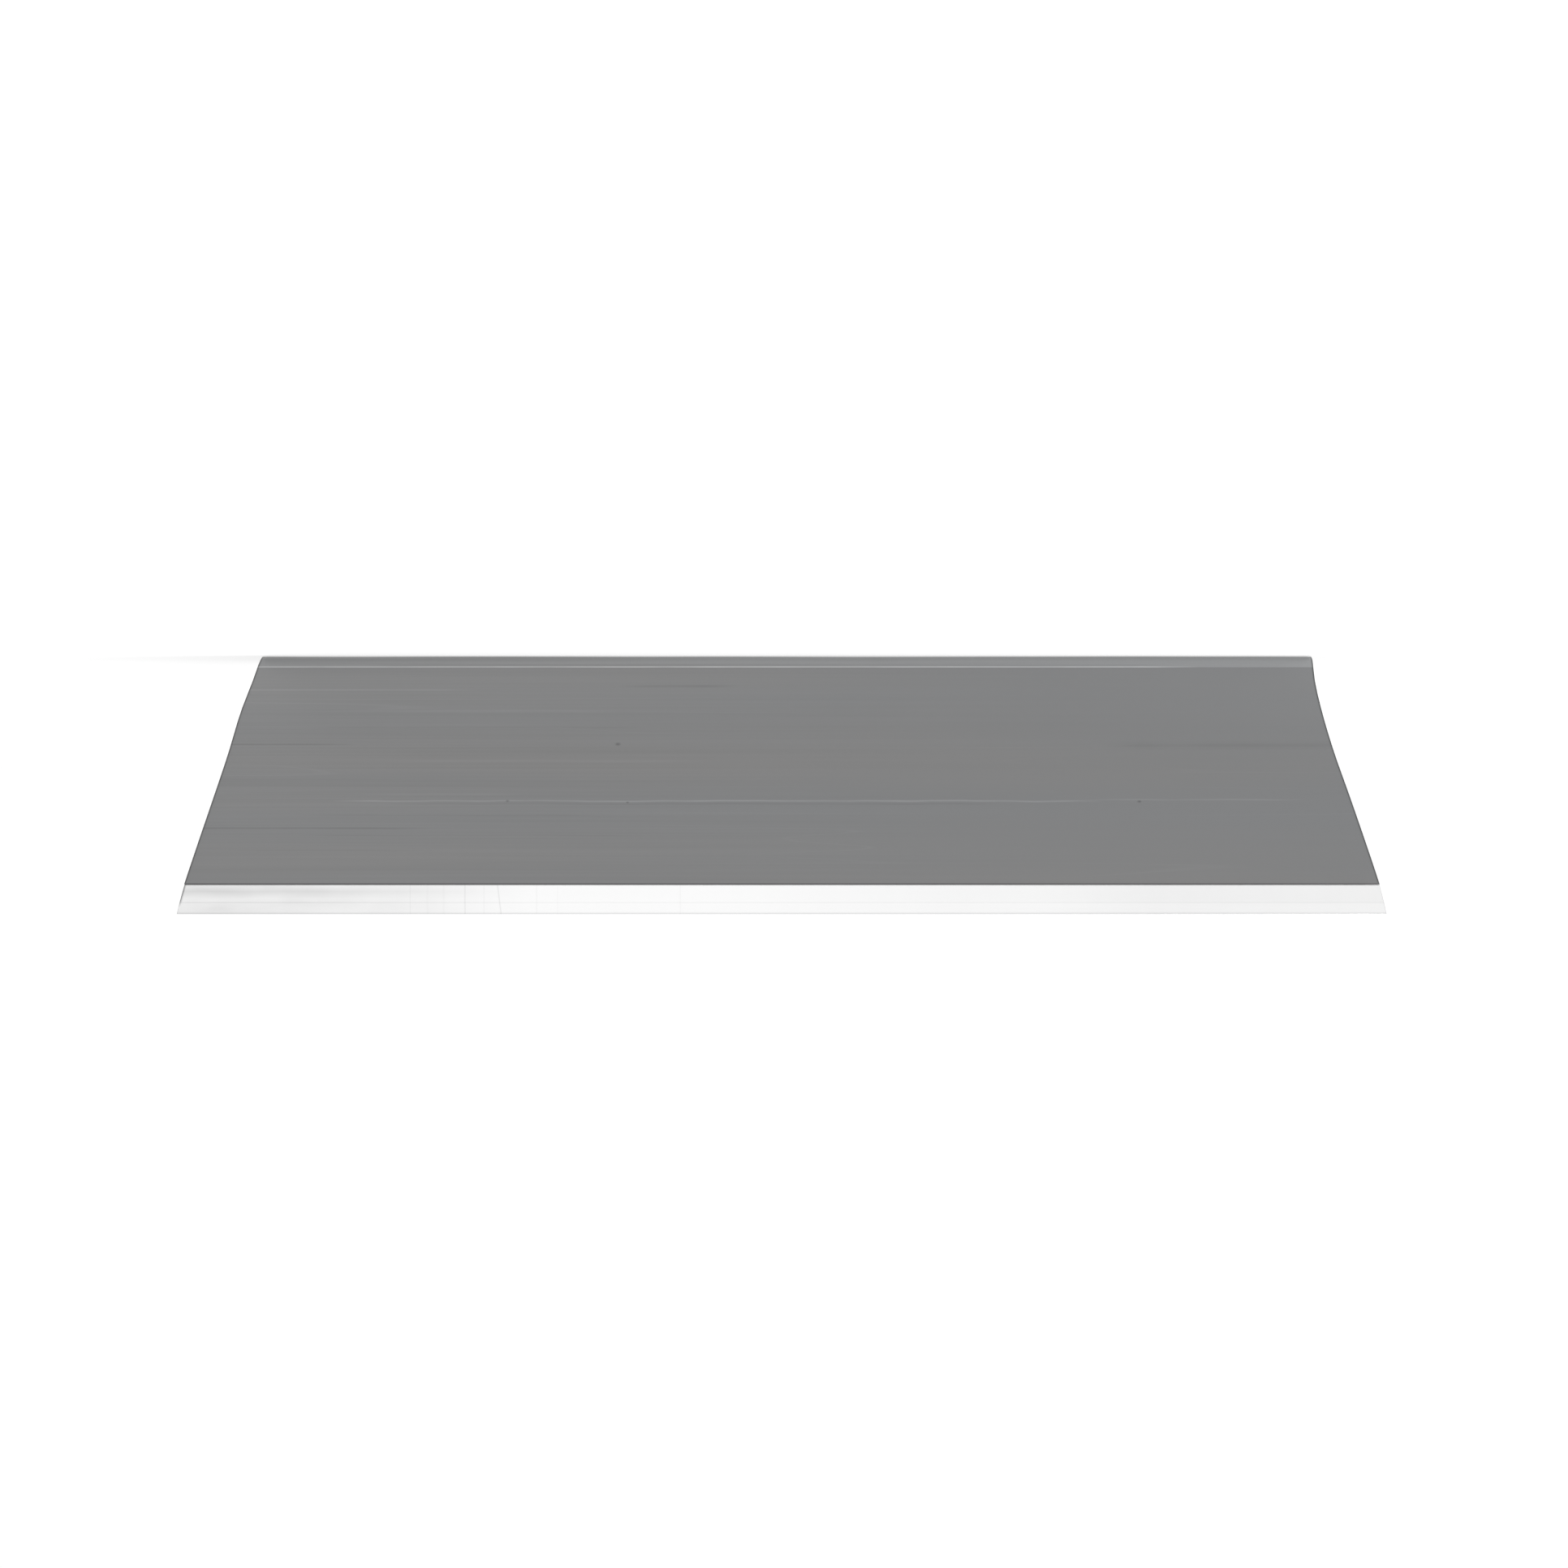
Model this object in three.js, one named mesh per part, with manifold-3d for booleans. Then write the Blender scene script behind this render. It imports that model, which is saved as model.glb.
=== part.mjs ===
// A sheet-steel mud pan: the long trough that a drywall finisher holds in one hand and wipes a taping knife on.
// Millimetres, +X along the pan, +Y to the rear, +Z up. The origin is the middle of the underside.
import * as THREE from "three";
import { mergeVertices } from "three/addons/utils/BufferGeometryUtils.js";
import Module from "manifold-3d";

const wasm = await Module();
wasm.setup();

// Driving dimensions of the pan.
const rimHeight = 87.4;
const rimHalfLength = 203.2;
const wallTop = 77.3; // upper edge of the trough's own sheet, where the bright wiping edge takes over
const creaseHeight = 49.5; // the long walls stand a little steeper above this line
const sheet = 1.0; // thickness of the trough and of the end plates
const bottomHalfWidth = 28.5; // flat part of the bottom, to where the bend starts
const bendRadius = 5.5; // outer radius between the bottom and a long wall
const lowerLean = THREE.MathUtils.degToRad(16); // lean of the wall from upright, below the crease
const upperLean = THREE.MathUtils.degToRad(14.5); // and above it

// Half lengths of the pan at rising heights, [from the middle, height]. The ends sweep out in a slight S.
const rightEnd = [
  [177.6, 0],
  [180.1, 8.3],
  [183.9, 19.4],
  [187.3, 32.7],
  [191.1, 45.9],
  [195.7, 61.2],
  [200.2, 76.4],
  [rimHalfLength, rimHeight],
];
const leftEnd = [
  [181.2, 0],
  [181.6, 8.3],
  [183.7, 19.4],
  [187.1, 32.7],
  [191.2, 45.9],
  [195.9, 61.2],
  [200.4, 76.4],
  [rimHalfLength, rimHeight],
];
const endSteps = 22; // straight pieces along an end's sweep

// End plates and their weld seams.
const plateInset = 1.6; // the plate's outer face sits this far inside the trough's cut end
const plateThickness = 1.05; // measured along X, on a plate that leans
const clearance = 0.1; // between the edge of a plate and the sheet beside it
const seamLeg = 1.4; // size of the weld in the corner
const seamSplit = 6; // the bottom seam turns up each corner to this height

// Wiping edges, spot-welded inside the top of the long walls.
const lapGap = 0.3; // left between the strip and the wall by the weld nuggets
const stripThickness = 1.2;
const stripLow = 65.5; // lower edge of the strip
const lipBend = 4; // outer radius where the strip turns upright
const groundHeight = 3.9; // height of the ground bevel under the rim
const edgeThickness = 0.5; // left at the rim by the bevel

// Spot welds.
const spotCount = 9;
const spotRadius = 2.6;
const spotPitch = 46;
const spotHeight = 71.2;
const spotSlack = 0.02; // the nugget is thinner than the gap by this much

const satinSteel = { color: 0x828383, roughness: 0.42, metalness: 0.9 };
const groundSteel = { color: 0xf0f1f1, roughness: 0.22, metalness: 0.9 };
const weldSteel = { color: 0x9a9996, roughness: 0.5, metalness: 0.85 };

const pan = new THREE.Group();
const toX = new THREE.Matrix4().makeBasis(
  new THREE.Vector3(0, 1, 0),
  new THREE.Vector3(0, 0, 1),
  new THREE.Vector3(1, 0, 0),
);
const toY = new THREE.Matrix4().makeBasis(
  new THREE.Vector3(1, 0, 0),
  new THREE.Vector3(0, 0, 1),
  new THREE.Vector3(0, -1, 0),
);

// Adds one named sub-part to the pan.
function add(name, geometry, finish) {
  const mesh = new THREE.Mesh(geometry, new THREE.MeshStandardMaterial(finish));
  mesh.name = name;
  pan.add(mesh);
  return mesh;
}

function toSolid(geometry) {
  const bare = geometry.clone();
  bare.deleteAttribute("normal");
  bare.deleteAttribute("uv");
  const merged = mergeVertices(bare, 1e-4);
  const mesh = new wasm.Mesh({
    numProp: 3,
    vertProperties: new Float32Array(merged.attributes.position.array),
    triVerts: new Uint32Array(merged.index.array),
  });
  return new wasm.Manifold(mesh);
}

function toGeometry(solid) {
  const mesh = solid.getMesh();
  const geometry = new THREE.BufferGeometry();
  geometry.setAttribute("position", new THREE.BufferAttribute(mesh.vertProperties, 3));
  geometry.setIndex(new THREE.BufferAttribute(mesh.triVerts, 1));
  const faceted = geometry.toNonIndexed();
  faceted.computeVertexNormals();
  return faceted;
}

// A straight bar of the given outline, centred on the plane of the outline.
function bar(points, length, turn) {
  const outline = new THREE.Shape(points.map(([a, b]) => new THREE.Vector2(a, b)));
  const geometry = new THREE.ExtrudeGeometry(outline, { depth: length, bevelEnabled: false });
  geometry.translate(0, 0, -length / 2);
  geometry.applyMatrix4(turn);
  return toSolid(geometry);
}
const longBar = (points) => bar(points, 3 * rimHalfLength, toX);
const crossBar = (points) => bar(points, 2 * rimHeight, toY);

// Points of an arc in the section, [y, z], angles in radians.
function arc(centre, radius, from, to, steps) {
  return Array.from({ length: steps + 1 }, (_, i) => {
    const angle = from + ((to - from) * i) / steps;
    return [centre[0] + radius * Math.cos(angle), centre[1] + radius * Math.sin(angle)];
  });
}

// The long wall's section: the outer face, or a line the given inset inside it.
const bendCentre = [bottomHalfWidth, bendRadius];
const bendEnd = arc(bendCentre, bendRadius, -lowerLean, -lowerLean, 1)[0];
const creaseY = bendEnd[0] + (creaseHeight - bendEnd[1]) * Math.tan(lowerLean);

// Rear wall's Y at a height above the crease.
function upperY(inset, z) {
  return creaseY + (z - creaseHeight) * Math.tan(upperLean) - inset / Math.cos(upperLean);
}

// From the middle of the bottom out round the bend and up the rear wall.
function wallLine(inset, top) {
  const meanLean = (lowerLean + upperLean) / 2;
  const reach = inset / Math.cos((lowerLean - upperLean) / 2);
  return [
    ...arc(bendCentre, bendRadius - inset, -Math.PI / 2, -lowerLean, 9),
    [creaseY - reach * Math.cos(meanLean), creaseHeight + reach * Math.sin(meanLean)],
    [upperY(inset, top), top],
  ];
}

const mirrored = (points) => points.map(([y, z]) => [-y, z]).reverse();
const bothSides = (points) => [...mirrored(points), ...points];

const lapFace = sheet + lapGap;
const lipCentre = [
  upperY(lapFace, wallTop) - lipBend * Math.cos(upperLean),
  wallTop + lipBend * Math.sin(upperLean),
];
const lipFace = lipCentre[0] + lipBend;
const lipInside = lipFace - stripThickness;

// Section of the rear wiping edge: a lap inside the wall, a slight bend and an upright lip, ground thin at the rim.
function stripSection() {
  const innerFace = lapFace + stripThickness;
  return [
    [upperY(lapFace, stripLow), stripLow],
    ...arc(lipCentre, lipBend, -upperLean, 0, 4),
    [lipFace, rimHeight - groundHeight],
    [lipInside + edgeThickness, rimHeight],
    [lipInside, rimHeight],
    ...arc(lipCentre, lipBend - stripThickness, 0, -upperLean, 4),
    [upperY(innerFace, stripLow), stripLow],
  ];
}

// Inside outline of the walls and wiping edges, moved in by a margin.
function cavity(margin) {
  const stripInset = lapFace + stripThickness + margin;
  return bothSides([
    ...wallLine(sheet + margin, stripLow - margin),
    [upperY(stripInset, stripLow - margin), stripLow - margin],
    ...arc(lipCentre, lipBend - stripThickness - margin, -upperLean, 0, 4),
    [lipInside - margin, rimHeight],
  ]);
}

// The sweep of one end as points [x, z], moved in along X. side is 1 at the right end and -1 at the left.
function sweep(side, inset) {
  const knots = (side > 0 ? rightEnd : leftEnd).map(([x, z]) => new THREE.Vector2(x, z));
  return new THREE.SplineCurve(knots)
    .getPoints(endSteps)
    .map(({ x, y }) => [side * (x - inset), y]);
}

// A curved slab that follows the sweep of an end, between two insets.
function endSlab(side, outer, inner) {
  return crossBar([...sweep(side, outer), ...sweep(side, inner).reverse()]);
}

const silhouette = crossBar([...sweep(1, 0), ...sweep(-1, 0).reverse()]);

function trough() {
  const section = [...bothSides(wallLine(0, wallTop)), ...bothSides(wallLine(sheet, wallTop)).reverse()];
  add("trough_shell", toGeometry(longBar(section).intersect(silhouette)), satinSteel);
}

function endPlate(name, side) {
  const slab = endSlab(side, plateInset, plateInset + plateThickness);
  add(name, toGeometry(slab.intersect(longBar(cavity(clearance)))), satinSteel);
}

// The three welds in the corner between an end plate and the sheet around it.
function endSeams(end, side) {
  const slab = endSlab(side, plateInset - clearance - seamLeg, plateInset - clearance);
  const ring = longBar(cavity(clearance)).subtract(longBar(cavity(clearance + seamLeg)));
  const seam = slab.intersect(ring);
  const far = 2 * rimHeight;
  const below = longBar([[-far, -far], [far, -far], [far, seamSplit], [-far, seamSplit]]);
  const rear = longBar([[0, seamSplit], [far, seamSplit], [far, far], [0, far]]);
  const front = longBar([[-far, seamSplit], [0, seamSplit], [0, far], [-far, far]]);
  add(`weld_seam_${end}_bottom`, toGeometry(seam.intersect(below)), weldSteel);
  add(`weld_seam_${end}_rear`, toGeometry(seam.intersect(rear)), weldSteel);
  add(`weld_seam_${end}_front`, toGeometry(seam.intersect(front)), weldSteel);
}

function wipingEdge(name, section) {
  add(name, toGeometry(longBar(section).intersect(silhouette)), groundSteel);
}

// The nuggets that hold a wiping edge to its wall. face is 1 at the rear and -1 at the front.
function spotWelds(wall, face) {
  const middle = upperY(sheet + lapGap / 2, spotHeight);
  for (let i = 0; i < spotCount; i += 1) {
    const disc = new THREE.CylinderGeometry(spotRadius, spotRadius, lapGap - spotSlack, 20);
    const nugget = add(`spot_weld_${wall}_${i + 1}`, disc, weldSteel);
    nugget.position.set((i - (spotCount - 1) / 2) * spotPitch, face * middle, spotHeight);
    nugget.rotation.x = -face * upperLean;
  }
}

trough();
endPlate("end_plate_left", -1);
endPlate("end_plate_right", 1);
endSeams("left", -1);
endSeams("right", 1);
wipingEdge("wiping_edge_rear", stripSection());
wipingEdge("wiping_edge_front", mirrored(stripSection()));
spotWelds("front", -1);
spotWelds("rear", 1);

export default pan;
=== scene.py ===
import math

import bmesh
import bpy
from mathutils import Matrix, Vector
from mathutils.geometry import convex_hull_2d


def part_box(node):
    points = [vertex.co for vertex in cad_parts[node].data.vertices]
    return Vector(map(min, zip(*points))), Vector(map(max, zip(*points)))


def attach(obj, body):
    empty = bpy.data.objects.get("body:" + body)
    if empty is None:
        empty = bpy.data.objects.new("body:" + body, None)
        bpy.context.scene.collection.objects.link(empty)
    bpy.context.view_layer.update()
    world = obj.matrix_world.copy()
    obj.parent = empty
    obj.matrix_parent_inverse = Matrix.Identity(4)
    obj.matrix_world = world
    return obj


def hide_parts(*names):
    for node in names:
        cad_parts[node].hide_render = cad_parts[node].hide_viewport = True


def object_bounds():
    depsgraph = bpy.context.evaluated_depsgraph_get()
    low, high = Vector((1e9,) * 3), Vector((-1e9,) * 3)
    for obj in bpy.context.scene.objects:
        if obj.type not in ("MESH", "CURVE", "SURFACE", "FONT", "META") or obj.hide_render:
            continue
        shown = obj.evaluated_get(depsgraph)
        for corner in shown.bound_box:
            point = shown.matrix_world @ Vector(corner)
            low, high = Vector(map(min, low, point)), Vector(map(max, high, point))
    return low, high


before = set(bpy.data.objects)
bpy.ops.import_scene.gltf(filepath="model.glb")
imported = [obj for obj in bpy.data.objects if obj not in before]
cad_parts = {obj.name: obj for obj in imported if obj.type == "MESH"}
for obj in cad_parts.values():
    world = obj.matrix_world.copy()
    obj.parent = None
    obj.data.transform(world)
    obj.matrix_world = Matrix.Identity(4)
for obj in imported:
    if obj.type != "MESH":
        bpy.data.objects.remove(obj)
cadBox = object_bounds()

mm = 0.001
front, rear = -1, 1    # the two long sides, along Y
left, right = -1, 1    # the two ends, along X
endNames = {left: "left", right: "right"}
wallNames = {front: "front", rear: "rear"}


# Reading the frame

def nodePoints(*names):
    return [v.co.copy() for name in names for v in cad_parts[name].data.vertices]


def lineThrough(pairs):
    # straight-line reading between (at, value) pairs
    pairs = sorted(pairs)

    def read(at):
        for (a, low), (b, high) in zip(pairs, pairs[1:]):
            if at <= b or b == pairs[-1][0]:
                share = (at - a) / (b - a) if b > a else 0
                return low + (high - low) * share

    return read


def endSweep(side):
    # how far the cut end stands out from the middle, by height
    heights = {}
    for p in nodePoints("trough_shell", "wiping_edge_front"):
        if p.x * side > 0:
            level = round(p.z, 5)
            heights[level] = max(abs(p.x), heights.get(level, 0))
    return lineThrough(heights.items())


def outerWall():
    # the rear wall's outside as (y, z), from the flat of the bottom to its top edge
    section = sorted({(round(p.y, 5), round(p.z, 5)) for p in nodePoints("trough_shell")})
    hull = [section[i] for i in convex_hull_2d([Vector(s) for s in section])]
    return sorted((s for s in hull if s[0] > 0), key=lambda s: s[1])


endX = {side: endSweep(side) for side in (left, right)}
wallOutline = outerWall()
wallY = lineThrough([(z, y) for y, z in wallOutline])
wallTop = wallOutline[-1][1]
rimTop = cadBox[1].z
flatHalf = wallOutline[0][0]
print("frame read")


# Hand tools

sharpEdge = 50    # degrees; edges sharper than this are rounded


def startClean():
    if bpy.context.object and bpy.context.object.mode != "OBJECT":
        bpy.ops.object.mode_set(mode="OBJECT")
    bpy.ops.object.select_all(action="DESELECT")


def choose(piece):
    startClean()
    piece.select_set(True)
    bpy.context.view_layer.objects.active = piece


def edit(piece):
    choose(piece)
    bpy.ops.object.mode_set(mode="EDIT")


def pick(kind, test):
    # selects what passes the test in the piece being edited
    bpy.ops.mesh.select_mode(type=kind)
    bpy.ops.mesh.select_all(action="DESELECT")
    mesh = bmesh.from_edit_mesh(bpy.context.object.data)
    for item in {"VERT": mesh.verts, "EDGE": mesh.edges, "FACE": mesh.faces}[kind]:
        if test(item):
            item.select_set(True)
    bmesh.update_edit_mesh(bpy.context.object.data)


def modify(piece, kind, **settings):
    choose(piece)
    modifier = piece.modifiers.new(kind.title(), kind)
    for key, value in settings.items():
        setattr(modifier, key, value)
    bpy.ops.object.modifier_apply(modifier=modifier.name)


def smooth(piece, degrees):
    choose(piece)
    bpy.ops.object.shade_smooth_by_angle(angle=math.radians(degrees))


def roundEdges(piece, width):
    modify(piece, "BEVEL", width=width, segments=2, limit_method="ANGLE",
           angle_limit=math.radians(sharpEdge))


def foldedSheet(name, rows, axis, cuts):
    # One edge drawn out from row to row, as a sheet is folded, then cut across evenly.
    # A row is its two ends, and lies along the axis (0 for X, 1 for Y).
    startClean()
    bpy.ops.mesh.primitive_plane_add(size=1)
    piece = bpy.context.object
    piece.name = piece.data.name = name
    edit(piece)
    pick("VERT", lambda v: v.co[1 - axis] > 0)
    bpy.ops.mesh.delete(type="VERT")
    bpy.ops.mesh.select_all(action="SELECT")
    middle, length = Vector((0, -0.5, 0) if axis == 0 else (-0.5, 0, 0)), 1
    for number, (low, high) in enumerate(rows):
        newMiddle, newLength = (low + high) / 2, (high - low).length
        if number == 0:
            bpy.ops.transform.translate(value=newMiddle - middle)
        else:
            bpy.ops.mesh.extrude_edges_move(TRANSFORM_OT_translate={"value": newMiddle - middle})
        stretch = [1, 1, 1]
        stretch[axis] = newLength / length
        bpy.ops.transform.resize(value=stretch, center_override=newMiddle)
        middle, length = newMiddle, newLength
    pick("EDGE", lambda e: abs((e.verts[1].co - e.verts[0].co)[axis]) > 0.99 * e.calc_length())
    bpy.ops.mesh.subdivide(number_cuts=cuts)
    startClean()
    return piece


def turnOutward(piece, axis, sign):
    # makes an open sheet's faces point one way along an axis, judged by its first face
    edit(piece)
    bpy.ops.mesh.select_all(action="SELECT")
    bpy.ops.mesh.normals_make_consistent(inside=False)
    startClean()
    if piece.data.polygons[0].normal[axis] * sign < 0:
        edit(piece)
        bpy.ops.mesh.select_all(action="SELECT")
        bpy.ops.mesh.flip_normals()
        startClean()


def waves(size):
    # slow unevenness, as a bent sheet has
    cloud = bpy.data.textures.new("sheetWaves", "CLOUDS")
    cloud.noise_scale = size
    cloud.noise_depth = 1
    return cloud


def steps(low, high, count):
    return [low + (high - low) * i / count for i in range(count + 1)]


# Trough: one bent sheet, the bottom and both long walls

trough = {
    "sheet": 1.0 * mm,
    "wallRows": 16,
    "bottomRows": 8,
    "cuts": 56,
    "waveSize": 70 * mm,
    "waveDepth": 0.25 * mm,
    "waveRest": 0.8,           # the sheet sinks in, never out past its true face
    "bendTop": 6 * mm,         # the bends are below this height
    "edgeRound": 0.16 * mm,
    "smoothed": 35,
}


def troughRow(y, z):
    return Vector((-endX[left](z), y, z)), Vector((endX[right](z), y, z))


def wallRows():
    # (y, z) up the rear wall: the bend as it is, then the wall in even rows
    bend = [s for s in wallOutline if s[1] < trough["bendTop"]]
    up = steps(bend[-1][1], wallTop, trough["wallRows"])[1:]
    return bend + [(wallY(z), z) for z in up]


def makeTrough():
    wall = wallRows()
    across = [(y, 0) for y in steps(-flatHalf, flatHalf, trough["bottomRows"])[1:-1]]
    section = [(-y, z) for y, z in reversed(wall)] + across + wall
    rows = [troughRow(y, z) for y, z in section]
    piece = foldedSheet("troughSheet", rows, 0, trough["cuts"])
    turnOutward(piece, 1, front)
    modify(piece, "DISPLACE", texture=waves(trough["waveSize"]), texture_coords="LOCAL",
           strength=trough["waveDepth"], mid_level=trough["waveRest"])
    modify(piece, "SOLIDIFY", thickness=trough["sheet"], offset=-1, use_even_offset=True)
    roundEdges(piece, trough["edgeRound"])
    smooth(piece, trough["smoothed"])
    return piece


troughSheet = makeTrough()
print("trough bent", len(troughSheet.data.polygons))


# End plates: swept plates let in between the walls

endPlate = {
    "thickness": 1.0 * mm,
    "rows": 30,
    "cuts": 22,
    "closest": 0.05 * mm,      # rows nearer than this are one row
    "waveSize": 45 * mm,
    "waveDepth": 0.30 * mm,
    "waveRest": 0.5,
    "topBand": 0.5 * mm,       # cut level from this far below the rim
    "edgeRound": 0.18 * mm,
    "smoothed": 35,
}


def plateHalfWidth(name):
    # half the plate's width by height
    widths = {}
    for p in nodePoints(name):
        level = round(p.z, 5)
        widths[level] = max(abs(p.y), widths.get(level, 0))
    return widths


def makeEndPlate(side):
    name = "end_plate_" + endNames[side]
    widths = plateHalfWidth(name)
    low, high = min(widths), max(widths)
    halfWidth = lineThrough(widths.items())
    levels = sorted(set(widths) | set(steps(low, high, endPlate["rows"])))
    levels = [z for i, z in enumerate(levels)
              if i == 0 or z - levels[i - 1] > endPlate["closest"]]
    inset = endX[side](high) - max(abs(p.x) for p in nodePoints(name))
    rows = []
    for z in levels:
        x = side * (endX[side](z) - inset)
        rows.append((Vector((x, -halfWidth(z), z)), Vector((x, halfWidth(z), z))))
    piece = foldedSheet("endPlate" + endNames[side].title(), rows, 1, endPlate["cuts"])
    turnOutward(piece, 0, side)
    modify(piece, "DISPLACE", texture=waves(endPlate["waveSize"]), texture_coords="LOCAL",
           strength=endPlate["waveDepth"], mid_level=endPlate["waveRest"])
    modify(piece, "SOLIDIFY", thickness=endPlate["thickness"], offset=-1, use_even_offset=True)
    edit(piece)
    pick("VERT", lambda v: v.co.z > high - endPlate["topBand"])
    bpy.ops.transform.resize(value=(1, 1, 0), center_override=(0, 0, high))
    startClean()
    roundEdges(piece, endPlate["edgeRound"])
    smooth(piece, endPlate["smoothed"])
    return piece


endPlates = {side: makeEndPlate(side) for side in (left, right)}
print("end plates let in")


# Wiping edges: ground steel strips lapped inside the top of the long walls

wipingEdge = {
    "lapFace": 1.3 * mm,       # the wall's sheet and the gap that the spot welds fill
    "thickness": 1.2 * mm,
    "lipBend": 4.0 * mm,
    "groundHeight": 3.9 * mm,
    "groundDepth": 0.7 * mm,
    "cuts": 60,
    "edgeRound": 0.12 * mm,
    "smoothed": 9,
    "spots": 9,
    "dimpleRadius": 2.3 * mm,
    "dimpleDepth": 0.2 * mm,
    "dimpleFaces": (32, 16),
}
hair = 0.05 * mm    # what counts as at the same place
(lastY, lastZ), (topY, topZ) = wallOutline[-2:]
wallLean = math.atan((topY - lastY) / (topZ - lastZ))


def insideWall(inset, z):
    return wallY(z) - inset / math.cos(wallLean)


def stripFace():
    # (y, z) up the rear strip's outer face
    bend, low = wipingEdge["lipBend"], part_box("wiping_edge_rear")[0].z
    centreY = insideWall(wipingEdge["lapFace"], wallTop) - bend * math.cos(wallLean)
    centreZ = wallTop + bend * math.sin(wallLean)
    lap = [(insideWall(wipingEdge["lapFace"], z), z) for z in steps(low, wallTop, 4)[:-1]]
    turn = [(centreY + bend * math.cos(a), centreZ + bend * math.sin(a))
            for a in steps(-wallLean, 0, 6)]
    groundLow = rimTop - wipingEdge["groundHeight"]
    lip = [(centreY + bend, z) for z in steps(turn[-1][1], groundLow, 2)[1:]]
    return lap + turn + lip + [(centreY + bend, rimTop)]


def grindRim(piece, wall):
    # the outer face leans in over the last few millimetres
    edit(piece)
    outer = max(abs(v.co.y) for v in piece.data.vertices if v.co.z > rimTop - hair)
    pick("VERT", lambda v: v.co.z > rimTop - hair and abs(v.co.y) > outer - hair)
    bpy.ops.transform.translate(value=(0, -wall * wipingEdge["groundDepth"], 0))
    startClean()


def dimpleCutter(wall):
    # shallow lenses where the welding electrodes pressed, all in one cutter
    face = wipingEdge["lapFace"] + wipingEdge["thickness"]
    around, rings = wipingEdge["dimpleFaces"]
    lenses = []
    for number in range(1, wipingEdge["spots"] + 1):
        low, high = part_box(f"spot_weld_{wallNames[wall]}_{number}")
        middle = (low + high) / 2
        startClean()
        bpy.ops.mesh.primitive_uv_sphere_add(segments=around, ring_count=rings,
                                             radius=wipingEdge["dimpleRadius"])
        lens = bpy.context.object
        edit(lens)
        flat = wipingEdge["dimpleDepth"] / wipingEdge["dimpleRadius"]
        bpy.ops.transform.resize(value=(1, flat, 1), center_override=(0, 0, 0))
        startClean()
        lens.location = (middle.x, wall * insideWall(face, middle.z), middle.z)
        lens.rotation_euler.x = -wall * wallLean
        lenses.append(lens)
    return fused(lenses, "dimpleCutter")


def fused(pieces, name):
    # joins pieces into the first, with its place in its mesh
    startClean()
    for piece in pieces:
        piece.select_set(True)
    bpy.context.view_layer.objects.active = pieces[0]
    if len(pieces) > 1:
        bpy.ops.object.join()
    bpy.ops.object.transform_apply(location=True, rotation=True, scale=True)
    pieces[0].name = pieces[0].data.name = name
    return pieces[0]


def makeWipingEdge(wall):
    face = stripFace()
    rows = [troughRow(wall * y, z) for y, z in face]
    title = "wipingEdge" + wallNames[wall].title()
    piece = foldedSheet(title, rows, 0, wipingEdge["cuts"])
    turnOutward(piece, 1, wall)
    modify(piece, "SOLIDIFY", thickness=wipingEdge["thickness"], offset=-1, use_even_offset=True)
    grindRim(piece, wall)
    roundEdges(piece, wipingEdge["edgeRound"])
    cutter = dimpleCutter(wall)
    modify(piece, "BOOLEAN", object=cutter, operation="DIFFERENCE", solver="EXACT")
    bpy.data.objects.remove(cutter)
    smooth(piece, wipingEdge["smoothed"])
    return piece


wipingEdges = {wall: makeWipingEdge(wall) for wall in (front, rear)}
print("wiping edges ground")


# Weld seams: rippled beads in the corners outside the end plates

seam = {
    "ripple": (0.92 * mm, 0.92 * mm, 0.80 * mm),    # half sizes, the last along the bead
    "rippleFaces": (14, 8),
    "pitch": 1.0 * mm,
    "grain": 0.16 * mm,       # size of the fused bead's faces
    "smoothed": 60,
    "depth": 1.0 * mm,        # the bead's middle, in from the cut end
    "inset": 1.8 * mm,        # and in from the trough's outside
    "topGap": 1.3 * mm,       # left free below the rim
    "ease": 2.5 * mm,         # a step in the corner is taken this far each way
    "sideSteps": 80,
    "bendRadius": 5.5 * mm,
    "bendSteps": 8,
    "split": 6.0 * mm,        # the bottom bead turns up each corner to here
    "splitLean": 0.1 * mm,
}


def sideSeamPath(side, wall):
    # up one corner, in the middle of the CAD bead's four edges
    levels = {}
    for p in nodePoints(f"weld_seam_{endNames[side]}_{wallNames[wall]}"):
        levels.setdefault(round(p.z, 4), set()).add((round(p.x, 5), round(p.y, 5)))
    whole = {z: found for z, found in levels.items() if len(found) == 4}
    corner = lineThrough([(z, sum(y for _, y in found) / 4) for z, found in whole.items()])
    low, high = min(levels), rimTop - seam["topGap"]
    path = []
    for z in steps(low, high, seam["sideSteps"]):
        near = [corner(min(max(z + seam["ease"] * t, low), high)) for t in steps(-1, 1, 10)]
        path.append(Vector((side * (endX[side](z) - seam["depth"]), sum(near) / len(near), z)))
    return path


def bottomSeamPath(side):
    # across the bottom and round both bends
    reach = seam["bendRadius"] - seam["inset"]
    turn = [(flatHalf + reach * math.cos(a), seam["bendRadius"] + reach * math.sin(a))
            for a in steps(-math.pi / 2, -wallLean, seam["bendSteps"])]
    turn.append((turn[-1][0] + seam["splitLean"], seam["split"]))
    outline = [(-y, z) for y, z in reversed(turn)] + turn
    return [Vector((side * (endX[side](z) - seam["depth"]), y, z)) for y, z in outline]


def alongPath(path, pitch):
    # places and directions at an even pitch
    lengths = [(b - a).length for a, b in zip(path, path[1:])]
    count = max(2, round(sum(lengths) / pitch))
    for at in steps(0, sum(lengths), count):
        for (a, b), length in zip(zip(path, path[1:]), lengths):
            if at <= length + 1e-7:
                yield a.lerp(b, at / length), (b - a).normalized()
                break
            at -= length


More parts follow.
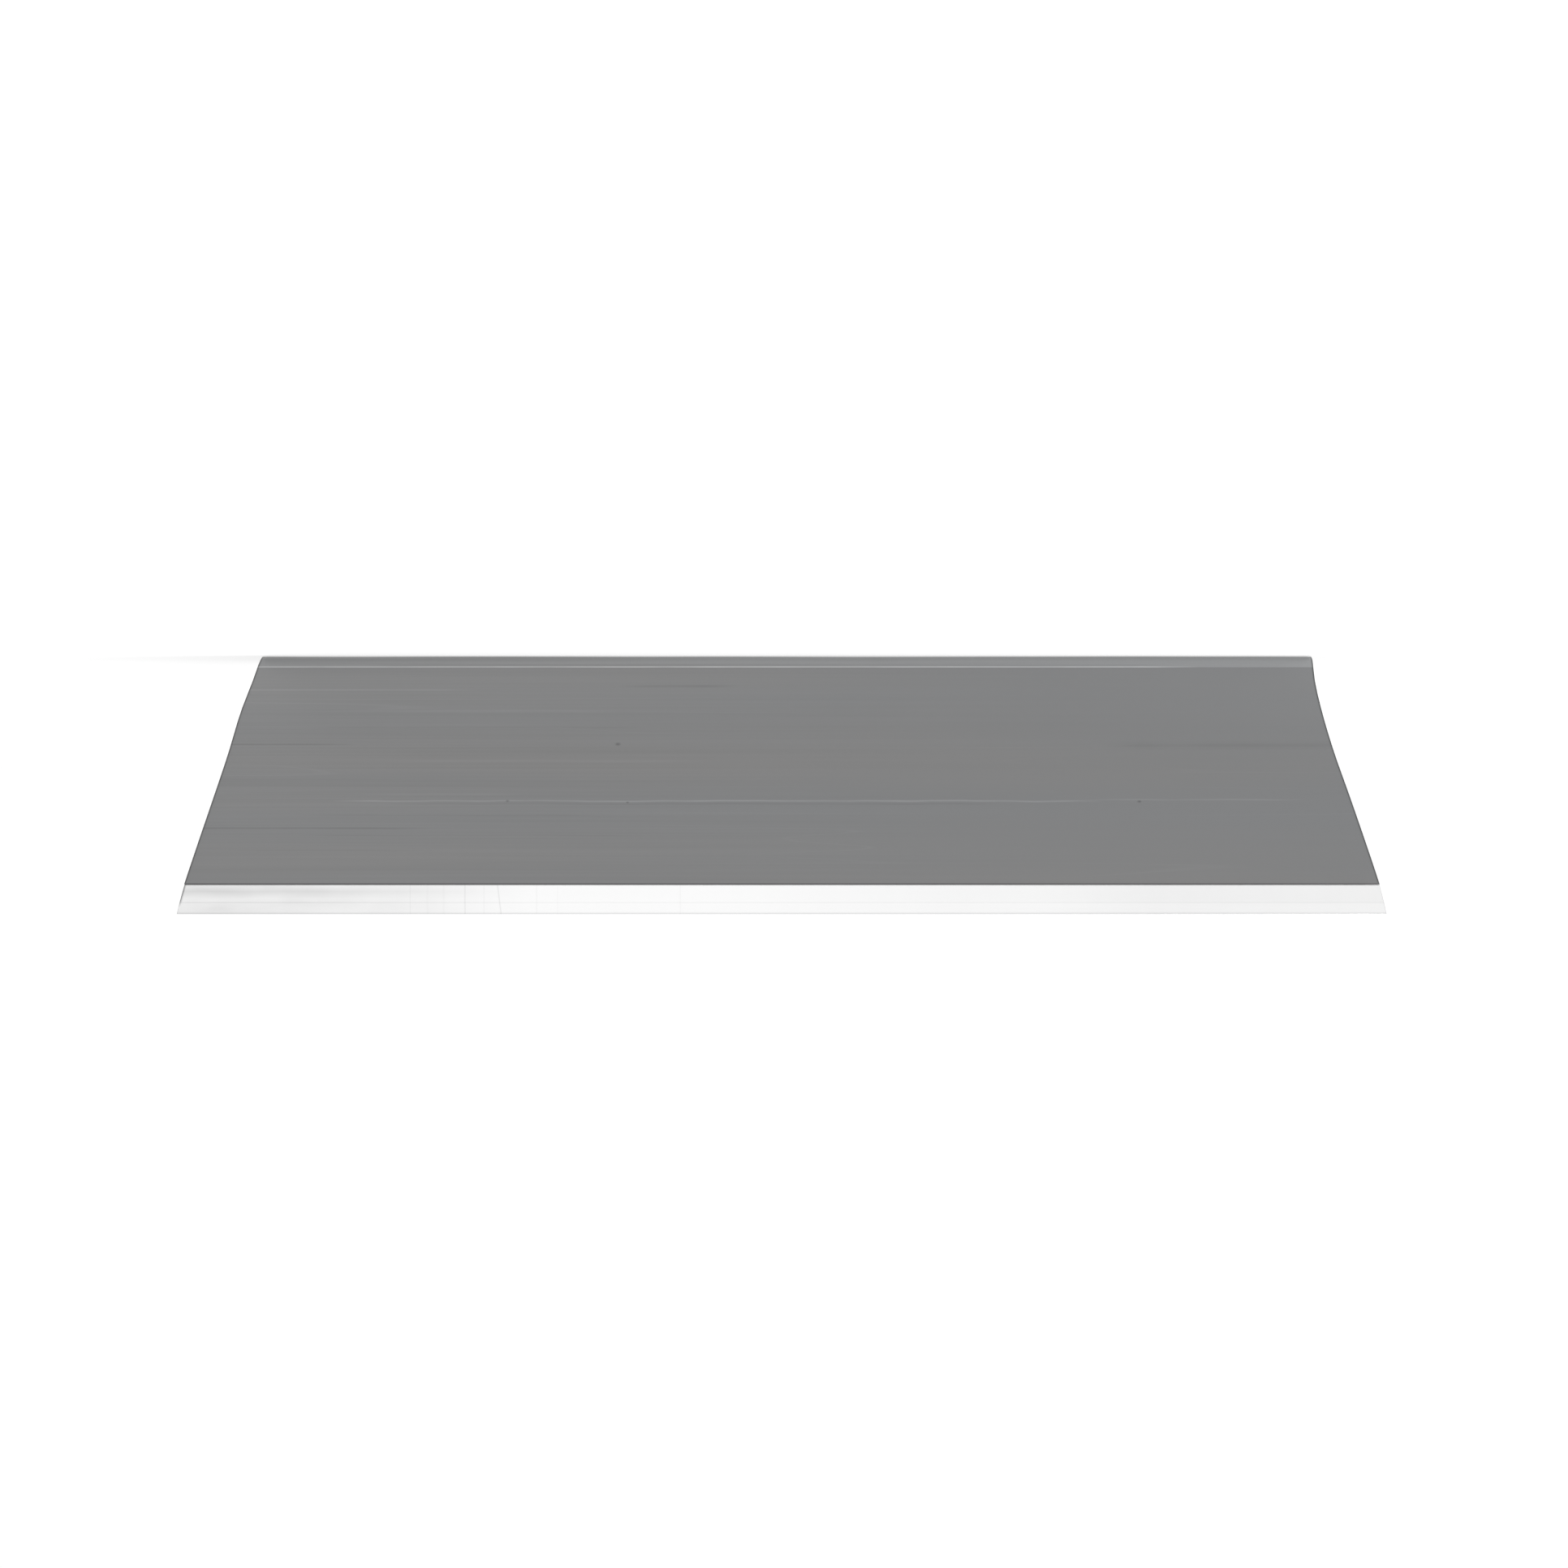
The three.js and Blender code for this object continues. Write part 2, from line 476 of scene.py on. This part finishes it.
def swell(number):
    # hand-laid ripples aren't all one size
    return 1 + 0.05 * math.sin(number * 1.7) + 0.04 * math.sin(number * 0.43 + 1)


def makeSeam(name, path):
    around, rings = seam["rippleFaces"]
    startClean()
    bpy.ops.mesh.primitive_uv_sphere_add(segments=around, ring_count=rings, radius=1)
    ripple = bpy.context.object
    edit(ripple)
    bpy.ops.transform.resize(value=seam["ripple"], center_override=(0, 0, 0))
    startClean()
    ripples = []
    for number, (place, along) in enumerate(alongPath(path, seam["pitch"])):
        copy = ripple.copy()
        copy.data = ripple.data.copy()
        bpy.context.collection.objects.link(copy)
        turned = along.to_track_quat("Z", "Y").to_matrix().to_4x4()
        copy.matrix_world = Matrix.Translation(place) @ turned @ Matrix.Scale(swell(number), 4)
        ripples.append(copy)
    bpy.data.objects.remove(ripple)
    bead = fused(ripples, name)
    modify(bead, "REMESH", mode="VOXEL", voxel_size=seam["grain"])
    modify(bead, "SMOOTH", factor=0.5, iterations=2)
    smooth(bead, seam["smoothed"])
    return bead


seams = {}
for side in (left, right):
    node, title = "weld_seam_" + endNames[side], "seam" + endNames[side].title()
    for wall in (front, rear):
        path = sideSeamPath(side, wall)
        seams[f"{node}_{wallNames[wall]}"] = makeSeam(title + wallNames[wall].title(), path)
    seams[node + "_bottom"] = makeSeam(title + "Bottom", bottomSeamPath(side))
print("seams laid", sum(len(b.data.polygons) for b in seams.values()))


# Rulers: each sheet's own map holds how far a point is from the sheet's two ends

def ruler(piece, fromLow, fromHigh):
    chart = piece.data.uv_layers.get("ruler") or piece.data.uv_layers.new(name="ruler")
    for loop in piece.data.loops:
        p = piece.data.vertices[loop.vertex_index].co
        chart.data[loop.index].uv = (fromLow(p), fromHigh(p))


for piece in (troughSheet, *wipingEdges.values()):
    ruler(piece, lambda p: p.x + endX[left](p.z), lambda p: endX[right](p.z) - p.x)
for side, piece in endPlates.items():
    halfWidth = lineThrough(plateHalfWidth("end_plate_" + endNames[side]).items())
    ruler(piece, lambda p: p.y + halfWidth(p.z), lambda p: halfWidth(p.z) - p.y)
print("rulers marked")


# Shader maths

class Wire:
    # one output of a shader node, written in sums as a number is
    def __init__(self, paint, socket):
        self.paint, self.socket = paint, socket

    def maths(self, operation, a, b=0.0):
        return self.paint.node("Math", {"operation": operation}, {0: a, 1: b})

    def __add__(self, other):
        return self.maths("ADD", self, other)

    def __radd__(self, other):
        return self.maths("ADD", other, self)

    def __sub__(self, other):
        return self.maths("SUBTRACT", self, other)

    def __rsub__(self, other):
        return self.maths("SUBTRACT", other, self)

    def __mul__(self, other):
        return self.maths("MULTIPLY", self, other)

    def __rmul__(self, other):
        return self.maths("MULTIPLY", other, self)

    def __truediv__(self, other):
        return self.maths("DIVIDE", self, other)

    def __rtruediv__(self, other):
        return self.maths("DIVIDE", other, self)

    def __pow__(self, other):
        return self.maths("POWER", self, other)

    def __abs__(self):
        return self.maths("ABSOLUTE", self)

    def atLeast(self, other):
        return self.maths("MAXIMUM", self, other)

    def atMost(self, other):
        return self.maths("MINIMUM", self, other)

    def clipped(self):
        return self.atLeast(0).atMost(1)


class Paint:
    # one material being mixed
    def __init__(self, name):
        self.material = bpy.data.materials.new(name)
        self.material.use_nodes = True
        self.tree = self.material.node_tree
        self.tree.nodes.clear()

    def node(self, kind, settings=None, sockets=None, output=0):
        made = self.tree.nodes.new("ShaderNode" + kind)
        for key, value in (settings or {}).items():
            setattr(made, key, value)
        for key, value in (sockets or {}).items():
            if isinstance(value, Wire):
                self.tree.links.new(value.socket, made.inputs[key])
            else:
                made.inputs[key].default_value = value
        return Wire(self, made.outputs[output])

    def split(self, vector):
        made = self.node("SeparateXYZ", {}, {0: vector}).socket.node
        return [Wire(self, made.outputs[i]) for i in range(3)]

    def places(self):
        return self.node("TexCoord", output="Object")

    def rulers(self):
        return self.split(self.node("UVMap", {"uv_map": "ruler"}))[:2]

    def scaled(self, vector, scale):
        return self.node("VectorMath", {"operation": "MULTIPLY"}, {0: vector, 1: scale})

    def noise(self, vector, scale, detail=2.0, roughness=0.5):
        # swings evenly about zero, by about a half each way
        return self.node("TexNoise", {}, {
            "Vector": self.scaled(vector, scale), "Scale": 1.0,
            "Detail": detail, "Roughness": roughness}) - 0.5

    def grey(self, tone, warmth=0.0):
        channels = {0: tone * (1 + warmth), 1: tone, 2: tone * (1 - warmth)}
        return self.node("CombineColor", {}, channels)

    def blend(self, factor, first, second):
        colours = {0: factor, 6: first, 7: second}
        return self.node("Mix", {"data_type": "RGBA"}, colours, output=2)

    def finish(self, colour, roughness, height, bump):
        # bare metal, with a bump of that many metres
        normal = self.node("Bump", {}, {"Strength": 1.0, "Distance": bump, "Height": height})
        surface = self.node("BsdfPrincipled", {}, {
            "Base Color": colour, "Roughness": roughness, "Metallic": 1.0, "Normal": normal})
        self.close(surface)
        return self.material

    def close(self, surface):
        end = self.tree.nodes.new("ShaderNodeOutputMaterial")
        self.tree.links.new(surface.socket, end.inputs["Surface"])


def band(value, low, high, fade):
    # 1 between low and high, falling to 0 over the fade outside them
    return ((value - (low - fade)) / fade).clipped() * (((high + fade) - value) / fade).clipped()


def ridge(value, middle, halfWidth):
    # 1 on a line, falling to 0 on both sides
    return (1 - abs(value - middle) / halfWidth).clipped()


# Satin steel: the trough, with the marks of rolling, bending and handling

satin = {
    "tone": 0.215,
    "roughness": 0.40,
    "bump": 0.01 * mm,
    # how often each noise repeats along X, Y and Z, in a metre
    "fine": (6, 1500, 1500),
    "streak": (3.5, 260, 260),
    "broad": (2.2, 45, 45),
    "patch": (14, 22, 22),
    "hairlines": (3, 120, 120),
    "hairWidth": 0.005,
    "inTone": {"fine": 0.12, "streak": 0.16, "broad": 0.05, "patch": 0.04, "scratch": 0.06},
    "inRough": {"fine": 0.08, "streak": 0.10, "patch": 0.06, "scratch": 0.08},
    "busy": (0.75, 0.45, 120 * mm),     # streaks in the middle, more or fewer by the ends, reach
    "bendTop": 3.8 * mm,       # the bend at the bottom ends here, where a die mark runs as a partly painted highlight line
    "bendFade": 0.25 * mm,
    "bendStreaks": 1.6,
    "bendPaintedLight": (0.26, 0.12, 180 * mm),     # painted light on the bend: in the middle, less to the right, reach
    "lowPaintedLight": (0.12, 45 * mm),             # painted light up to this height
    # painted shade: dark lines along the cut ends and along the wall's top edge by the strip
    "endPaintedShade": 0.75 * mm,
    "topPaintedShade": 0.5 * mm,
    "paintedShadeDepth": 0.75,
    # marks on the front wall: height, from X to X, half width, lighter or darker, wander
    "marksAndHighlights": [
        # the first row is a die mark along the bend, partly real and partly a painted highlight;
        # the second is a painted shade line beside it
        (3.8, 190, -128, 0.36, 1.0, 0.1),
        (3.2, 130, -120, 0.25, -0.30, 0.1),
        (11.7, 183, 118, 0.35, 0.22, 0.1),
        (49.4, 138, -95, 0.40, 0.36, 1.2),
        (50.4, 120, -60, 0.35, -0.12, 1.2),
        (49.0, -115, -163, 0.35, 0.18, 0.8),
        (30.3, 190, 158, 0.40, -0.22, 0.2),
        (58.6, 196, 130, 0.45, -0.18, 0.8),
        (30.6, -121, -182, 1.70, -0.10, 0.6),
        (10.4, 42, 27, 0.60, -0.16, 0.3),
        (47.2, 130, 100, 0.50, 0.09, 0.5),
        (54.2, 150, 75, 0.35, -0.10, 0.6),
        (61.0, 150, 60, 0.35, -0.08, 1.0),
        (19.0, 120, 70, 0.50, 0.08, 0.6),
        (24.5, 150, 60, 0.45, -0.07, 0.6),
        (36.0, 120, 40, 0.60, 0.06, 0.6),
        (66.0, 175, 128, 0.35, -0.08, 0.6),
    ],
    "markFade": 14 * mm,
    "wander": (28, 0.01, 0.01),
    "ragged": (60, 8, 8),
    # small dark specks: X, height, radius
    "specks": [
        (55.5, 30.2, 0.6),
        (92.5, 49.4, 0.4),
        (-120.7, 49.6, 0.45),
        (52.0, 49.9, 0.35),
    ],
    "speckDark": 0.35,
}


def onFrontSide(y):
    # 1 on the pan's front half, 0 on its rear half
    return (y * -1000).clipped()


def markAndHighlightLines(paint, places, x, y, z):
    # the sum of the front wall's marks, with a painted highlight line and a painted shade line
    # along the bend, about zero
    wander = paint.noise(places, satin["wander"], 2)
    ragged = 0.75 + 0.9 * paint.noise(places, satin["ragged"], 2)
    total = 0.0
    for height, start, stop, halfWidth, strength, stray in satin["marksAndHighlights"]:
        onLine = ridge(z - wander * (stray * mm), height * mm, halfWidth * mm)
        along = band(x, stop * mm, start * mm, satin["markFade"])
        total = total + onLine * along * strength
    total = total * ragged
    for atX, atZ, radius in satin["specks"]:
        away = (((x - atX * mm) * 0.6) ** 2 + (z - atZ * mm) ** 2) ** 0.5    # drawn out along X
        total = total - satin["speckDark"] * (1.2 - away / (radius * mm)).clipped()
    return total * onFrontSide(y)


def hairlines(paint, places, scale, width):
    # long thin scratches, where a slow noise passes through zero
    wave = paint.noise(places, scale, 1)
    patch = (paint.noise(places, (9, 30, 30), 1) * 4).clipped()
    return (1 - abs(wave) / width).clipped() * patch


def satinSteel():
    paint = Paint("satinSteel")
    places = paint.places()
    x, y, z = paint.split(places)
    fromLeft, fromRight = paint.rulers()
    fine = paint.noise(places, satin["fine"], 2)
    streak = paint.noise(places, satin["streak"], 3, 0.6)
    broad = paint.noise(places, satin["broad"], 2)
    patch = paint.noise(places, satin["patch"], 2)
    scratch = hairlines(paint, places, satin["hairlines"], satin["hairWidth"])
    inTone, inRough = satin["inTone"], satin["inRough"]
    middle, more, reach = satin["busy"]
    busy = middle + more * (x / reach).atLeast(-1).atMost(1)
    bend = band(z, -1 * mm, satin["bendTop"], satin["bendFade"])
    streaks = inTone["fine"] * fine + inTone["streak"] * streak
    streaks = (busy + satin["bendStreaks"] * bend) * streaks
    # painted light on the bend at the bottom, less of it to the right
    middle, less, reach = satin["bendPaintedLight"]
    paintedBendLight = bend * (middle - (x / reach) * less)
    lift, liftTop = satin["lowPaintedLight"]
    # painted light and shade, which evens out the lamps' and the floor's uneven light along and
    # up the wall
    paintedEvening = 0.04 + 0.12 * x.atMost(0) - 1.1 * z + lift * (1 - z / liftTop).clipped() ** 2
    # painted shade along the cut ends and the wall's top edge
    outline = (1 - fromLeft.atMost(fromRight) / satin["endPaintedShade"]).clipped()
    outline = outline.atLeast(ridge(z, wallTop, satin["topPaintedShade"]) * 0.7)
    marksAndHighlights = markAndHighlightLines(paint, places, x, y, z)
    mottle = inTone["broad"] * broad + inTone["patch"] * patch + inTone["scratch"] * scratch
    tone = satin["tone"] * (1 + streaks + paintedBendLight + paintedEvening + marksAndHighlights + mottle)
    tone = tone * (1 - satin["paintedShadeDepth"] * outline)
    rough = satin["roughness"] + inRough["streak"] * streak + inRough["fine"] * fine
    rough = rough + inRough["patch"] * patch - inRough["scratch"] * scratch
    height = 0.6 * fine + streak - 0.8 * scratch
    colour = paint.grey(tone, 0.05 * broad - 0.008)
    return paint.finish(colour, rough, height, satin["bump"])


# Satin steel with the welds' heat tint: the end plates

plate = {
    "fine": (1500, 6, 1500),
    "streak": (260, 3.5, 260),
    "patch": (14, 22, 22),
    "hairlines": (90, 12, 90),
    "hairWidth": 0.006,
    "inTone": {"fine": 0.12, "streak": 0.14, "patch": 0.06, "scratch": 0.10},
    "inRough": {"fine": 0.08, "streak": 0.10, "scratch": 0.08},
    "warmth": -0.004,
    # colour, millimetres in from the edge, half width, strength
    "tints": [
        ((0.27, 0.20, 0.11, 1), 4.6, 2.6, 0.35),
        ((0.15, 0.17, 0.25, 1), 2.4, 1.8, 0.40),
    ],
    "tintStray": 3,
    "tintScale": (60, 60, 60),
}


def plateSteel():
    paint = Paint("plateSteel")
    places = paint.places()
    z = paint.split(places)[2]
    fromFront, fromRear = paint.rulers()
    fine = paint.noise(places, plate["fine"], 2)
    streak = paint.noise(places, plate["streak"], 3, 0.6)
    patch = paint.noise(places, plate["patch"], 2)
    scratch = hairlines(paint, places, plate["hairlines"], plate["hairWidth"])
    inTone, inRough = plate["inTone"], plate["inRough"]
    mottle = inTone["patch"] * patch + inTone["scratch"] * scratch
    tone = satin["tone"] * (1 + inTone["fine"] * fine + inTone["streak"] * streak + mottle)
    rough = satin["roughness"] + inRough["streak"] * streak + inRough["fine"] * fine
    rough = rough - inRough["scratch"] * scratch
    edge = fromFront.atMost(fromRear).atMost(z) / mm
    edge = edge + plate["tintStray"] * paint.noise(places, plate["tintScale"], 2)
    colour = paint.grey(tone, plate["warmth"])
    for tint, middle, halfWidth, strength in plate["tints"]:
        colour = paint.blend(ridge(edge, middle, halfWidth) * strength, colour, tint)
    return paint.finish(colour, rough, 0.6 * fine + streak, satin["bump"])


# Ground steel: the wiping edges

ground = {
    "tone": 0.90,
    "roughness": 0.30,
    "bump": 0.002 * mm,
    "across": (260, 12, 12),
    "lengthwise": (6, 260, 260),
    "patch": (45, 160, 160),
    "spread": (14, 20, 20),
    # faint upright lines left by the grinder: X, half width, strength, lean
    "chatter": [
        (124.8, 0.30, 0.06, 0),
        (119, 0.5, 0.03, 0),
        (113.5, 0.5, 0.03, 0),
        (106.3, 0.35, 0.12, 0),
        (99.9, 0.30, 0.05, 0),
        (94.8, 0.35, 0.13, 0.12),
        (82.2, 0.35, 0.05, 0),
        (75.2, 0.30, 0.03, 0),
        (34, 0.30, 0.05, 0),
    ],
    "chatterStray": 0.5 * mm,
    "leanFrom": 82 * mm,       # a leaning line has its X at this height
    # where the front strip gets duller: X where it starts, over how far
    "rightEnd": (85 * mm, 80 * mm),
    "leftHalf": (20 * mm, 80 * mm),
    "leftEnd": (-85 * mm, 40 * mm),
    "rightDull": 0.15,
    "rightMottle": (0.20, 0.10),
    "leftDull": 0.055,
    "paintedShadeByWallEdge": (2.5 * mm, 2.4 * mm, 0.14),    # painted shade beside the wall's top edge: how far over it, half width, strength
    "paintedBevelShade": (3.9 * mm, 0.3 * mm, 0.07),   # painted shade along the ground bevel's edge: under the rim, half width, strength
    "paintedRimShade": (0.7 * mm, 0.28),                # painted shade along the rim's edge: height, strength
    "outline": (0.8 * mm, 83 * mm, 2 * mm, 0.8),    # painted shade along the strip's right end: width, height, fade above it, strength
    "cutEnd": 0.16 * mm,
    "cutTone": 0.62,
    "cutRough": 0.15,
    # the rings round the dimples
    "firstSpot": -184 * mm,
    "spotPitch": 46 * mm,
    "spotHeight": 71.2 * mm,
    "inside": 50.8 * mm,       # only nearer the middle than this
    "ring": (3.4, 1.3, 0.5),   # radius in millimetres, half width, strength
    "straw": (0.55, 0.47, 0.33, 1),
}


def grinderMarks(x, z, spread):
    lines = 0.0
    for at, halfWidth, strength, lean in ground["chatter"]:
        shifted = x + ground["chatterStray"] * spread + (z - ground["leanFrom"]) * lean
        lines = lines + ridge(shifted, at * mm, halfWidth * mm) * strength
    return lines


def dimpleRings(paint, x, y, z):
    pitch = {0: x - ground["firstSpot"], 1: ground["spotPitch"] / 2}
    fromSpot = paint.node("Math", {"operation": "PINGPONG"}, pitch)
    away = (fromSpot ** 2 + (z - ground["spotHeight"]) ** 2) ** 0.5 / mm
    inside = ((1 - abs(y) / ground["inside"]).clipped() * 200).clipped()
    radius, halfWidth, strength = ground["ring"]
    return ridge(away, radius, halfWidth) * inside * strength


def groundSteel():
    paint = Paint("groundSteel")
    places = paint.places()
    x, y, z = paint.split(places)
    fromLeft, fromRight = paint.rulers()
    across = paint.noise(places, ground["across"], 2)
    lengthwise = paint.noise(places, ground["lengthwise"], 2)
    patch = paint.noise(places, ground["patch"], 2)
    spread = paint.noise(places, ground["spread"], 1)
    onFront = onFrontSide(y)
    start, over = ground["rightEnd"]
    rightEnd = ((x - start) / over).clipped() * onFront
    start, over = ground["leftEnd"]
    leftEnd = ((start - x) / over).clipped() * onFront
    start, over = ground["leftHalf"]
    leftHalf = ((start - x) / over).clipped() * onFront
    # painted shade on the strip beside the wall's top edge, at the right end
    above, halfWidth, strength = ground["paintedShadeByWallEdge"]
    paintedShadeByWallEdge = ridge(z, wallTop + above, halfWidth) * rightEnd * strength
    byPatch, bySpread = ground["rightMottle"]
    dull = rightEnd * (ground["rightDull"] + byPatch * patch + bySpread * spread)
    tone = 1 - dull - paintedShadeByWallEdge - ground["leftDull"] * leftHalf - ground["leftDull"] * leftEnd
    # painted shade along the ground bevel's edge
    below, halfWidth, strength = ground["paintedBevelShade"]
    paintedBevelShade = ridge(z, rimTop - below, halfWidth) * (1 + rightEnd) * strength
    # painted shade along the rim's edge
    tall, rimShadeDepth = ground["paintedRimShade"]
    paintedRimShade = (1 - (rimTop - z) / tall).clipped()
    # painted shade along the strip's right end
    wide, low, fade, endShadeDepth = ground["outline"]
    outline = (1 - fromRight / wide).clipped() * (1 - (z - low) / fade).clipped()
    cutEnd = (1 - fromLeft.atMost(fromRight) / ground["cutEnd"]).clipped()
    tone = tone * (1 - grinderMarks(x, z, spread)) * (1 - paintedBevelShade)
    tone = tone * (1 - rimShadeDepth * paintedRimShade) * (1 - endShadeDepth * outline)
    tone = ground["tone"] * tone * (1 + 0.01 * across + 0.025 * lengthwise)
    tone = tone * (1 - ground["cutTone"] * cutEnd)
    colour = paint.blend(dimpleRings(paint, x, y, z), paint.grey(tone), ground["straw"])
    rough = ground["roughness"] + 0.012 * across + 0.025 * lengthwise
    rough = rough + ground["cutRough"] * cutEnd
    return paint.finish(colour, rough, 0.2 * across + lengthwise, ground["bump"])


# Weld metal: the rippled seams and the spot welds

weld = {
    "dull": (0.24, 0.225, 0.205, 1),
    "bright": (0.36, 0.355, 0.35, 1),
    "contrast": 1.4,
    "roughness": 0.38,
    "roughSpread": 0.2,
    "grain": (900, 900, 900),
    "patch": (120, 120, 120),
    "bump": 0.02 * mm,
}


def weldMetal():
    paint = Paint("weldMetal")
    places = paint.places()
    grain = paint.noise(places, weld["grain"], 3)
    patch = paint.noise(places, weld["patch"], 2)
    share = (0.5 + weld["contrast"] * patch).clipped()
    colour = paint.blend(share, weld["dull"], weld["bright"])
    rough = weld["roughness"] + weld["roughSpread"] * grain
    return paint.finish(colour, rough, grain, weld["bump"])


looks = {
    "satinSteel": satinSteel(),
    "plateSteel": plateSteel(),
    "groundSteel": groundSteel(),
    "weldMetal": weldMetal(),
}


def dress(piece, look):
    piece.data.materials.clear()
    piece.data.materials.append(looks[look])


def standFor(piece, node, look):
    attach(piece, "root")
    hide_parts(node)
    dress(piece, look)


standFor(troughSheet, "trough_shell", "satinSteel")
for side, piece in endPlates.items():
    standFor(piece, "end_plate_" + endNames[side], "plateSteel")
for wall, piece in wipingEdges.items():
    standFor(piece, "wiping_edge_" + wallNames[wall], "groundSteel")
for node, piece in seams.items():
    standFor(piece, node, "weldMetal")
for name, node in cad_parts.items():
    if name.startswith("spot_weld"):
        dress(node, "weldMetal")
print("finishes on")


# Camera, floor and lights

camera = {
    "lens": 85,
    "sensor": 36,
    "distance": 1243 * mm,     # from the near wiping edge
    "height": 43.7 * mm,
    "sideways": -0.8 * mm,
    "turn": (90, 180, 0),      # degrees; level, and the pan is seen turned over
}


def placeCamera():
    bpy.ops.object.camera_add()
    viewer = bpy.context.object
    viewer.name = "viewer"
    viewer.data.lens = camera["lens"]
    viewer.data.sensor_width = camera["sensor"]
    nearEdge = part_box("wiping_edge_front")[0].y
    viewer.location = (camera["sideways"], nearEdge - camera["distance"], camera["height"])
    viewer.rotation_euler = [math.radians(angle) for angle in camera["turn"]]
    bpy.context.scene.camera = viewer


studio = {
    "floorSize": 16.0,
    "floorDrop": 0.2 * mm,
    "nearGlow": 0.68,          # the floor's own light by the pan
    "farGlow": 0.74,           # and away from the lamps
    "nearReach": 0.5,
    "glowFade": 1.5,
    "floorTone": 0.30,
    "horizon": 1.02,
    "zenith": 1.15,
    "skyRise": (0.30, 0.95),   # how high the sky starts and stops getting brighter
    "aim": (0, 0, 0.04),
}
lamps = {
    "keyLight": {"place": (-0.9, -0.6, 1.3), "size": (0.9, 0.5), "power": 14},
    "fillLight": {"place": (1.0, 0.9, 0.9), "size": (0.6, 0.6), "power": 5},
}


def layFloor():
    startClean()
    place = (0, 0, -studio["floorDrop"])
    bpy.ops.mesh.primitive_plane_add(size=studio["floorSize"], location=place)
    floor = bpy.context.object
    floor.name = "floor"
    paint = Paint("paleFloor")
    away = paint.node("VectorMath", {"operation": "LENGTH"}, {0: paint.places()}, output="Value")
    far = ((away - studio["nearReach"]) / studio["glowFade"]).clipped()
    strength = studio["nearGlow"] + far * (studio["farGlow"] - studio["nearGlow"])
    glow = paint.node("Emission", {}, {"Color": (1, 1, 1, 1), "Strength": strength})
    tone = studio["floorTone"]
    matt = paint.node("BsdfDiffuse", {}, {"Color": (tone, tone, tone, 1)})
    paint.close(paint.node("AddShader", {}, {0: glow, 1: matt}))
    floor.data.materials.append(paint.material)


def lightRoom():
    world = bpy.data.worlds.new("studioAir")
    bpy.context.scene.world = world
    world.use_nodes = True
    nodes, links = world.node_tree.nodes, world.node_tree.links
    nodes.clear()
    where = nodes.new("ShaderNodeTexCoord")
    split = nodes.new("ShaderNodeSeparateXYZ")
    ramp = nodes.new("ShaderNodeMapRange")
    glow = nodes.new("ShaderNodeBackground")
    end = nodes.new("ShaderNodeOutputWorld")
    glow.inputs["Color"].default_value = (1, 1, 1, 1)
    low, high = studio["skyRise"]
    for socket, value in (("From Min", low), ("From Max", high),
                          ("To Min", studio["horizon"]), ("To Max", studio["zenith"])):
        ramp.inputs[socket].default_value = value
    links.new(where.outputs["Generated"], split.inputs[0])
    links.new(split.outputs[2], ramp.inputs["Value"])
    links.new(ramp.outputs[0], glow.inputs["Strength"])
    links.new(glow.outputs[0], end.inputs[0])
    bpy.context.scene.view_settings.view_transform = "Standard"


def softLight(name, place, size, power):
    startClean()
    bpy.ops.object.light_add(type="AREA", location=place)
    lamp = bpy.context.object
    lamp.name = name
    lamp.data.shape = "RECTANGLE"
    lamp.data.size, lamp.data.size_y = size
    lamp.data.energy = power
    towards = Vector(studio["aim"]) - Vector(place)
    lamp.rotation_euler = towards.to_track_quat("-Z", "Y").to_euler()


placeCamera()
layFloor()
lightRoom()
for name, lamp in lamps.items():
    softLight(name, **lamp)
print("studio set")
